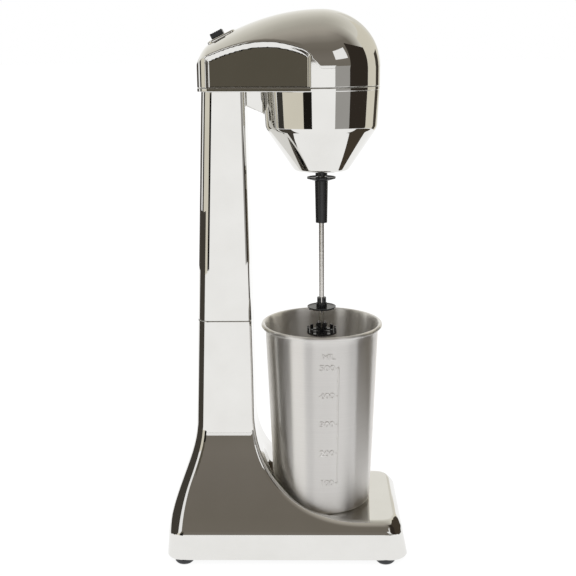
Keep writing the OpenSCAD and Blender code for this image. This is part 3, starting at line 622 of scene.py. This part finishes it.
# %% Frame and knob
PLATE_L, PLATE_W, SLOT_L, SLOT_W = 21.4, 21, 12.4, 4.6
KNOB_L, KNOB_W, KNOB_START, RIB_STEP = 9.4, 11, -2.2, 1.4


def on_slope(points, normals):
    """Moves a shape from the flat frame of the pad to its place on the cover."""
    c, s = math.cos(PAD_SLOPE), math.sin(PAD_SLOPE)
    turn = np.array([[c, 0, s], [0, 1, 0], [-s, 0, c]])
    return points @ turn + np.array([PAD_X, 0, PAD_Z]), normals @ turn


def frame_rule(x, y, z):
    plate = both(both(np.abs(x) - PLATE_L / 2, np.abs(y) - PLATE_W / 2, 4.0), z, 1.1)
    slot = both(np.abs(x) - SLOT_L / 2, np.abs(y) - SLOT_W / 2, 0.8)
    plate = both(plate, -slot, 0.3)
    return np.maximum(plate, -9.0 - z)


def knob_rule(x, y, z):
    x = x - KNOB_START
    sides = both(np.abs(x) - KNOB_L / 2, np.abs(y) - KNOB_W / 2, 0.9)
    body = both(sides, np.abs(z - 2.3) - 2.0, 0.5)
    to_rib = (x + RIB_STEP / 2) % RIB_STEP - RIB_STEP / 2
    groove = 0.42 - np.hypot(to_rib, z - 4.35) + 0 * y
    body = np.where(np.abs(x) < 4.0, both(body, groove, 0.12), body)
    stem = np.maximum(np.maximum(np.abs(x) - 2.4, np.abs(y) - 1.9), np.abs(z + 4.0) - 4.6)
    return np.minimum(body, stem)


points, quads, normals = skin(frame_rule, (-12, -12, -10.2), (12, 12, 1.2), 0.42)
points, normals = on_slope(points, normals)
piece("switch_frame_chrome", points, quads, chrome, "stand", ["switch_plate"],
      normals)
points, quads, normals = skin(knob_rule, (-8.4, -6.6, -9.6), (4, 6.6, 5.2), 0.28)
points, normals = on_slope(points, normals)
piece("switch_knob_black", points, quads, black, "switch_slider", ["switch_knob"],
      normals)

# %% [markdown]
# ## The cup
# A spun cup is a turned profile: a flat bottom with a small foot step, straight tapering walls
# and a rolled bead. Its capacity scale is pressed into the wall from inside, so numbers and
# ticks stand proud of the steel by a fraction of a millimetre. They are drawn flat, given a
# soft round section, and bent round the cone.

# %% Turning a profile
CUP_Z, CUP_TOP_R, CUP_BOTTOM_R, CUP_T = 33.1, 43.1, 37.6, 0.6
BEAD_OUT, BEAD_SECTION = 1.5, 1.55
CUP_H = 142.6 - BEAD_SECTION
WALL_Z0, WALL_RISE = 2.6, CUP_H - 4.0


def turned(profile, centre_x, around=192):
    """Spins a closed profile of (radius, height) round an upright axis."""
    turn = [2 * math.pi * i / around for i in range(around)]
    points, rows = [], []
    for r, z in profile:
        if r < 1e-6:
            rows.append([len(points)])
            points.append((centre_x, 0, z))
        else:
            rows.append(list(range(len(points), len(points) + around)))
            points += [(centre_x + r * math.cos(a), r * math.sin(a), z) for a in turn]
    faces = []
    for lower, upper in zip(rows, rows[1:]):
        for i in range(around):
            j = (i + 1) % around
            corners = [lower[i % len(lower)], lower[j % len(lower)],
                       upper[j % len(upper)], upper[i % len(upper)]]
            faces.append(list(dict.fromkeys(corners)))
    return points, faces


def arc(r, z, radius, start, end, steps):
    angles = [math.radians(start + (end - start) * i / steps) for i in range(steps + 1)]
    return [(r + radius * math.cos(a), z + radius * math.sin(a)) for a in angles]


def cup_profile():
    rb, rt, t = CUP_BOTTOM_R, CUP_TOP_R, CUP_T
    wall = [(rb + (rt - rb) * k / 24, WALL_Z0 + WALL_RISE * k / 24) for k in range(25)]
    outer = [(0, 1.2), (rb - 8, 1.2), (rb - 6.4, 1.0), (rb - 5.2, 0.25), (rb - 4.4, 0)]
    outer += arc(rb - 2.4, 2.4, 2.4, -90, 0, 8) + wall
    inner = [(r - t, z) for r, z in wall[::-1]]
    inner += arc(rb - 2.4, 2.4 + t, 2.4 - t, 0, -90, 6)
    inner += [(rb - 5.0, t + 0.2), (rb - 6.6, 1.6), (rb - 8, 1.8), (0, 1.8)]
    bead = arc(rt + BEAD_OUT, CUP_H, BEAD_SECTION, 215, 505, 26)
    return [(r, CUP_Z + z) for r, z in outer + bead + inner]


points, faces = turned(cup_profile(), SPINDLE)
piece("cup_brushed", points, faces, cup_steel, "cup", ["cup"])

# %% [markdown]
# ## The capacity scale
# The numbers are text turned into a mesh. The ticks are one small bar that Geometry Nodes
# copies up the scale, because they repeat by a rule: equal volumes, so ever smaller steps as
# the cup widens, with every second tick short. All of it is then bent round the wall.

# %% The pressed scale: numbers, ticks and their upright line
SCALE_TURN = math.radians(-73.5)
SCALE_LOW, SCALE_STEP, SCALE_SQUEEZE = 59.6, 24.6, 0.41
HALF_TICKS = 9
LETTER_SIZE, LETTER_WIDTH, LETTER_GAP = 6.2, 1.2, 2.6
UNIT_RISE = 8.5
BEND_R = 40.0
TICK_LENGTH = 1.9


def scale_height(step):
    """Equal volumes come closer together as the cup widens."""
    return SCALE_LOW + SCALE_STEP * step - SCALE_SQUEEZE * step ** 2


def grown_mesh(shape):
    """A plain mesh of what a curve or a modifier makes."""
    depsgraph = bpy.context.evaluated_depsgraph_get()
    return bpy.data.meshes.new_from_object(shape.evaluated_get(depsgraph))


def lettering(text, size):
    """Flat lettering with a round-edged section, as points and faces in millimetres."""
    curve = bpy.data.curves.new("lettering", "FONT")
    curve.body, curve.size = text, size
    curve.align_x, curve.align_y = "RIGHT", "CENTER"
    curve.extrude, curve.bevel_depth = 0.2, 0.25
    curve.bevel_resolution, curve.resolution_u = 2, 4
    shape = bpy.data.objects.new("lettering", curve)
    bpy.context.scene.collection.objects.link(shape)
    mesh = grown_mesh(shape)
    points = np.array([v.co for v in mesh.vertices])
    faces = [tuple(p.vertices) for p in mesh.polygons]
    bpy.data.objects.remove(shape)
    bpy.data.meshes.remove(mesh)
    return points, faces


def bar(x0, x1, y0, y1, section=0.45):
    """A raised bar with a half-round section, cut finely so that it bends with the wall."""
    along_x = abs(x1 - x0) > abs(y1 - y0)
    length = max(abs(x1 - x0), abs(y1 - y0))
    count = max(2, int(length / 1.2)) + 1
    points, faces = [], []
    for i in range(count):
        end = 0.35 if i in (0, count - 1) else 1.0
        for j in range(7):
            a = math.pi * j / 6
            across, height = math.cos(a) * 0.5 * end, math.sin(a) * section * end
            t = length * i / (count - 1)
            points.append((x0 + t, y0 + across, height) if along_x
                          else (x0 - across, y0 + t, height))
    for i in range(count - 1):
        for j in range(6):
            a = i * 7 + j
            faces.append((a, a + 7, a + 8, a + 1))
    faces += [tuple(range(7)), tuple(range(7 * count - 1, 7 * count - 8, -1))]
    return np.array(points), faces


def bend_round_cup(points):
    """x runs round the cup, y up it, and z out of its wall."""
    points = np.asarray(points)
    height = points[:, 1]
    part = (height - CUP_Z - WALL_Z0) / WALL_RISE
    radius = CUP_BOTTOM_R + (CUP_TOP_R - CUP_BOTTOM_R) * part
    angle = SCALE_TURN + points[:, 0] / BEND_R
    rho = radius + points[:, 2] - 0.03
    return np.stack([SPINDLE + rho * np.cos(angle), rho * np.sin(angle), height], 1)


def repeated_ticks(tick, count):
    """Geometry Nodes copies one tick up the scale; every second copy is a short one."""
    tree = bpy.data.node_groups.new("scale_ticks", "GeometryNodeTree")
    sockets = {}
    kinds = {"Geometry": "Geometry", "Count": "Int", "Rise": "Float", "Squeeze": "Float",
             "Short Tick": "Float"}
    for label, kind in kinds.items():
        sockets[label] = tree.interface.new_socket(label, in_out="INPUT",
                                                   socket_type="NodeSocket" + kind)
    tree.interface.new_socket("Geometry", in_out="OUTPUT", socket_type="NodeSocketGeometry")
    given = tree.nodes.new("NodeGroupInput").outputs

    def node(kind, settings, inputs):
        made = tree.nodes.new(kind)
        for key, value in settings.items():
            setattr(made, key, value)
        for key, value in inputs.items():
            if isinstance(value, bpy.types.NodeSocket):
                tree.links.new(value, made.inputs[key])
            else:
                made.inputs[key].default_value = value
        return made.outputs[0]

    def maths(operation, first, second):
        return node("ShaderNodeMath", {"operation": operation}, {0: first, 1: second})

    index = node("GeometryNodeInputIndex", {}, {})
    drop = maths("MULTIPLY", maths("POWER", index, 2.0), given["Squeeze"])
    height = maths("SUBTRACT", maths("MULTIPLY", index, given["Rise"]), drop)
    place = node("ShaderNodeCombineXYZ", {}, {1: height})
    spots = node("GeometryNodePoints", {}, {"Count": given["Count"], "Position": place})
    odd = maths("MODULO", index, 2.0)
    saving = maths("MULTIPLY", odd, maths("SUBTRACT", 1.0, given["Short Tick"]))
    size = node("ShaderNodeCombineXYZ", {}, {0: maths("SUBTRACT", 1.0, saving), 1: 1.0, 2: 1.0})
    copies = node("GeometryNodeInstanceOnPoints", {},
                  {"Points": spots, "Instance": given["Geometry"], "Scale": size})
    real = node("GeometryNodeRealizeInstances", {}, {0: copies})
    steel = node("GeometryNodeSetMaterial", {},
                 {"Geometry": real, "Material": cup_steel.material})
    tree.links.new(steel, tree.nodes.new("NodeGroupOutput").inputs[0])

    points, faces = tick
    mesh = bpy.data.meshes.new("tick")
    mesh.from_pydata(points.tolist(), [], faces)
    shape = bpy.data.objects.new("tick", mesh)
    bpy.context.scene.collection.objects.link(shape)
    modifier = shape.modifiers.new("scale_ticks", "NODES")
    modifier.node_group = tree
    values = {"Count": count, "Rise": SCALE_STEP / 2, "Squeeze": SCALE_SQUEEZE / 4,
              "Short Tick": 0.6}
    for label, value in values.items():
        modifier[sockets[label].identifier] = value
    grown = grown_mesh(shape)
    shape.modifiers.remove(modifier)
    points = np.array([v.co for v in grown.vertices])
    faces = [tuple(p.vertices) for p in grown.polygons]
    bpy.data.objects.remove(shape)
    return points + np.array([0, SCALE_LOW, 0]), faces


scale_points, scale_faces = [], []
marks = [bar(0, 0, SCALE_LOW - 1, scale_height(4) + 1),
         repeated_ticks(bar(-TICK_LENGTH, 0, 0, 0), HALF_TICKS)]
for k, text in enumerate(["100", "200", "300", "400", "500", "ML"]):
    points, faces = lettering(text, LETTER_SIZE)
    points[:, 0] = points[:, 0] * LETTER_WIDTH - LETTER_GAP
    points[:, 1] += scale_height(k) if text != "ML" else scale_height(4) + UNIT_RISE
    marks.append((points, faces))
for points, faces in marks:
    offset = sum(len(p) for p in scale_points)
    scale_points.append(points)
    scale_faces += [tuple(i + offset for i in face) for face in faces]
piece("cup_scale", bend_round_cup(np.concatenate(scale_points)), scale_faces, cup_steel,
      "cup")

# %% [markdown]
# ## The camera
# It looks down a little from the object's side, as a buyer would, with a moderately long lens
# that keeps the tall column straight.

# %% Camera
CAMERA_AT = Vector((18.86, -742.3, 378.8)) * MM
CAMERA_PITCH, CAMERA_ROLL, CAMERA_YAW = (math.radians(a) for a in (13.38, -0.56, -1.34))
LENS = 62.78

level = math.cos(CAMERA_PITCH)
forward = Vector((math.sin(CAMERA_YAW) * level, math.cos(CAMERA_YAW) * level,
                  -math.sin(CAMERA_PITCH)))
right = Vector((math.cos(CAMERA_YAW), -math.sin(CAMERA_YAW), 0))
up = right.cross(forward)
roll_c, roll_s = math.cos(CAMERA_ROLL), math.sin(CAMERA_ROLL)
right, up = roll_c * right + roll_s * up, roll_c * up - roll_s * right
camera_data = bpy.data.cameras.new("camera")
camera_data.lens, camera_data.sensor_width = LENS, 36.0
camera_data.clip_end = 50.0
camera = bpy.data.objects.new("camera", camera_data)
camera.matrix_world = Matrix((right, up, -forward)).transposed().to_4x4()
camera.matrix_world.translation = CAMERA_AT
bpy.context.scene.collection.objects.link(camera)
bpy.context.scene.camera = camera
bpy.context.scene.view_settings.view_transform = "Standard"

# %% [markdown]
# ## The studio
# Chrome has no colour of its own: it shows the room. The object stands on a white sweep, in a
# white world. A dim room stands behind the camera, seen only in reflections, with a flag, a
# small softbox and strips of card that draw the bands on the round head.

# %% Room, cards, floor and world
STUDIO_R = 30.0
STUDIO_Z = 0.36


def glow(name, shade, strength=1.0):
    material = bpy.data.materials.new(name)
    material.use_nodes = True
    nodes = material.node_tree.nodes
    nodes.remove(nodes["Principled BSDF"])
    emission = nodes.new("ShaderNodeEmission")
    emission.inputs["Color"].default_value = (*shade, 1.0)
    emission.inputs["Strength"].default_value = strength
    material.node_tree.links.new(emission.outputs[0], nodes["Material Output"].inputs["Surface"])
    return material, emission


def studio_mesh(name, points, faces, material, seen=False):
    mesh = bpy.data.meshes.new(name)
    mesh.from_pydata(points, [], faces)
    mesh.materials.append(material)
    prop = bpy.data.objects.new(name, mesh)
    bpy.context.scene.collection.objects.link(prop)
    if not seen:
        prop.visible_camera = prop.visible_diffuse = prop.visible_shadow = False


def towards(azimuth, elevation, distance):
    """A point seen from the head: azimuth runs from the camera's side to the object's front."""
    a, e = math.radians(azimuth), math.radians(elevation)
    return (distance * math.sin(a) * math.cos(e), -distance * math.cos(a) * math.cos(e),
            STUDIO_Z + distance * math.sin(e))


def card(name, azimuths, lows, highs, shade, distance, lean=0.0):
    """A curved card between two azimuths; its edges may slope, and its foot may lean aside."""
    steps = 16
    columns = [(azimuths[0] + (azimuths[1] - azimuths[0]) * i / steps, i / steps)
               for i in range(steps + 1)]
    points, rows = [], 24
    for az, part in columns:
        low = lows[0] + (lows[1] - lows[0]) * part
        high = highs[0] + (highs[1] - highs[0]) * part
        points += [towards(az + lean * (1 - j / rows), low + (high - low) * j / rows, distance)
                   for j in range(rows + 1)]
    tall = rows + 1
    faces = [(i * tall + j, (i + 1) * tall + j, (i + 1) * tall + j + 1, i * tall + j + 1)
             for i in range(steps) for j in range(rows)]
    studio_mesh(name, points, faces, glow(name, shade)[0])


def linear(*values):
    """Display shades from 0 to 255 as the linear light they stand for."""
    return tuple(((v / 255 + 0.055) / 1.055) ** 2.4 if v > 10 else v / 3294.6 for v in values)


room_material, room_emission = glow("studio_room", (1, 1, 1))
room = Finish.__new__(Finish)
room.material, room.tree = room_material, room_material.node_tree
room.place = Field(room, room.node("TexCoord", {}, {}).outputs["Object"])
parts = room.node("SeparateXYZ", {}, {0: room.place})
room_x, room_y, room_z = (Field(room, parts.outputs[i]) for i in range(3))
# the room's shade against height, on the camera's side and on the far side
height = (room_z - STUDIO_Z) * (1 / STUDIO_R)
near_ramp = room.node("ValToRGB", {"stops": [
    (0.0, linear(118, 113, 104)), (0.3, linear(124, 118, 110)), (0.47, linear(120, 114, 106)),
    (0.6, linear(117, 111, 102)), (0.77, linear(124, 118, 109)), (0.9, linear(150, 144, 135)),
    (1.0, linear(178, 172, 162))]}, {0: height})
far_ramp = room.node("ValToRGB", {"stops": [
    (0.0, linear(255, 255, 253)), (0.5, linear(240, 238, 230)), (0.8, linear(215, 212, 202)),
    (1.0, linear(182, 178, 168))]}, {0: height})
side = room_y * (0.5 / (0.2 * STUDIO_R)) + 0.5
mix = room.node("Mix", {"data_type": "RGBA"}, {
    0: side, 6: Field(room, near_ramp.outputs[0]), 7: Field(room, far_ramp.outputs[0])})
room.tree.links.new(mix.outputs[2], room_emission.inputs["Color"])
columns, rows = 96, 40
tall = rows + 1
points = [towards(360 * i / columns, -1 + 91 * j / rows, STUDIO_R)
          for i in range(columns) for j in range(tall)]
faces = [(i * tall + j, (i + 1) % columns * tall + j,
          (i + 1) % columns * tall + j + 1, i * tall + j + 1)
         for i in range(columns) for j in range(rows)]
studio_mesh("studio_room", points, faces, room_material)

white = (1.0, 1.0, 1.0)
NEAR, FAR, LOW = 0.95, 28.0, -20.0
card("sweep_front", (-17, 28), (-0.5, -0.5), (5.0, 5.0), white, FAR)
card("grey_strip_right", (28, 57), (LOW, LOW), (4, 4), linear(165, 163, 160), NEAR)
card("flag", (57, 98), (LOW, LOW), (44, 26), linear(52, 46, 40), NEAR)
card("softbox", (24, 50), (16, 18), (33, 38), white, FAR, 4.0)
card("black_strip_left", (-34, -17), (LOW, LOW), (-3, -3), linear(30, 28, 25), NEAR)
card("dim_strip_left", (-34, -17), (-3, -3), (10, 10), linear(91, 86, 75), NEAR)
card("paper_left", (-80, -34), (LOW, LOW), (3, 3), linear(225, 220, 205), NEAR + 0.02)
card("window_left", (-80, -34), (4, 4), (42, 42), white, FAR)
card("dark_strip_left", (-96, -80), (LOW, LOW), (20, 20), linear(60, 58, 54), NEAR)
card("dark_strip_rear", (-158, -112), (LOW, LOW), (8, 8), linear(80, 76, 70), NEAR)
card("beige_card", (98, 150), (LOW, LOW), (40, 40), linear(225, 220, 205), NEAR + 0.04)
card("rail_right", (125, 140), (LOW, LOW), (12, 12), linear(70, 64, 56), NEAR)
card("window_right", (98, 170), (5, 5), (32, 32), linear(225, 222, 212), FAR)


def low_card(name, azimuths, radius, top, shade):
    """A short card on the floor round the cup, mirrored in its wall as an upright band."""
    turns = [math.radians(azimuths[0] + (azimuths[1] - azimuths[0]) * i / 12) for i in range(13)]
    points = [(SPINDLE * MM + radius * math.sin(a), -radius * math.cos(a), z)
              for a in turns for z in (0.0, top)]
    faces = [(2 * i, 2 * i + 2, 2 * i + 3, 2 * i + 1) for i in range(12)]
    studio_mesh(name, points, faces, glow(name, shade)[0])


CUP_CARD_R, CUP_CARD_H = 0.24, 0.24
low_card("cup_card_left", (-108, -62), CUP_CARD_R, CUP_CARD_H, linear(70, 66, 60))
low_card("cup_card_right", (72, 120), CUP_CARD_R, CUP_CARD_H, linear(70, 62, 52))

floor_material, floor_emission = glow("pale_floor", (1.0, 1.0, 1.0), 0.93)
floor_nodes = floor_material.node_tree
diffuse = floor_nodes.nodes.new("ShaderNodeBsdfDiffuse")
diffuse.inputs["Color"].default_value = (0.12, 0.12, 0.12, 1.0)
join = floor_nodes.nodes.new("ShaderNodeAddShader")
floor_nodes.links.new(floor_emission.outputs[0], join.inputs[0])
floor_nodes.links.new(diffuse.outputs[0], join.inputs[1])
floor_nodes.links.new(join.outputs[0], floor_nodes.nodes["Material Output"].inputs["Surface"])
FLOOR_R, FLOOR_SIDES = 29.0, 96
turns = [2 * math.pi * i / FLOOR_SIDES for i in range(FLOOR_SIDES)]
edge = [(FLOOR_R * math.cos(a), FLOOR_R * math.sin(a), 0) for a in turns]
studio_mesh("pale_floor", [(0, 0, 0)] + edge,
            [(0, 1 + i, 1 + (i + 1) % FLOOR_SIDES) for i in range(FLOOR_SIDES)],
            floor_material, seen=True)

world = bpy.data.worlds.new("white_world")
world.use_nodes = True
world.node_tree.nodes["Background"].inputs["Color"].default_value = (1, 1, 1, 1)
world.node_tree.nodes["Background"].inputs["Strength"].default_value = 1.0
bpy.context.scene.world = world
bpy.context.scene.cycles.glossy_bounces = 12
bpy.context.scene.cycles.max_bounces = 16
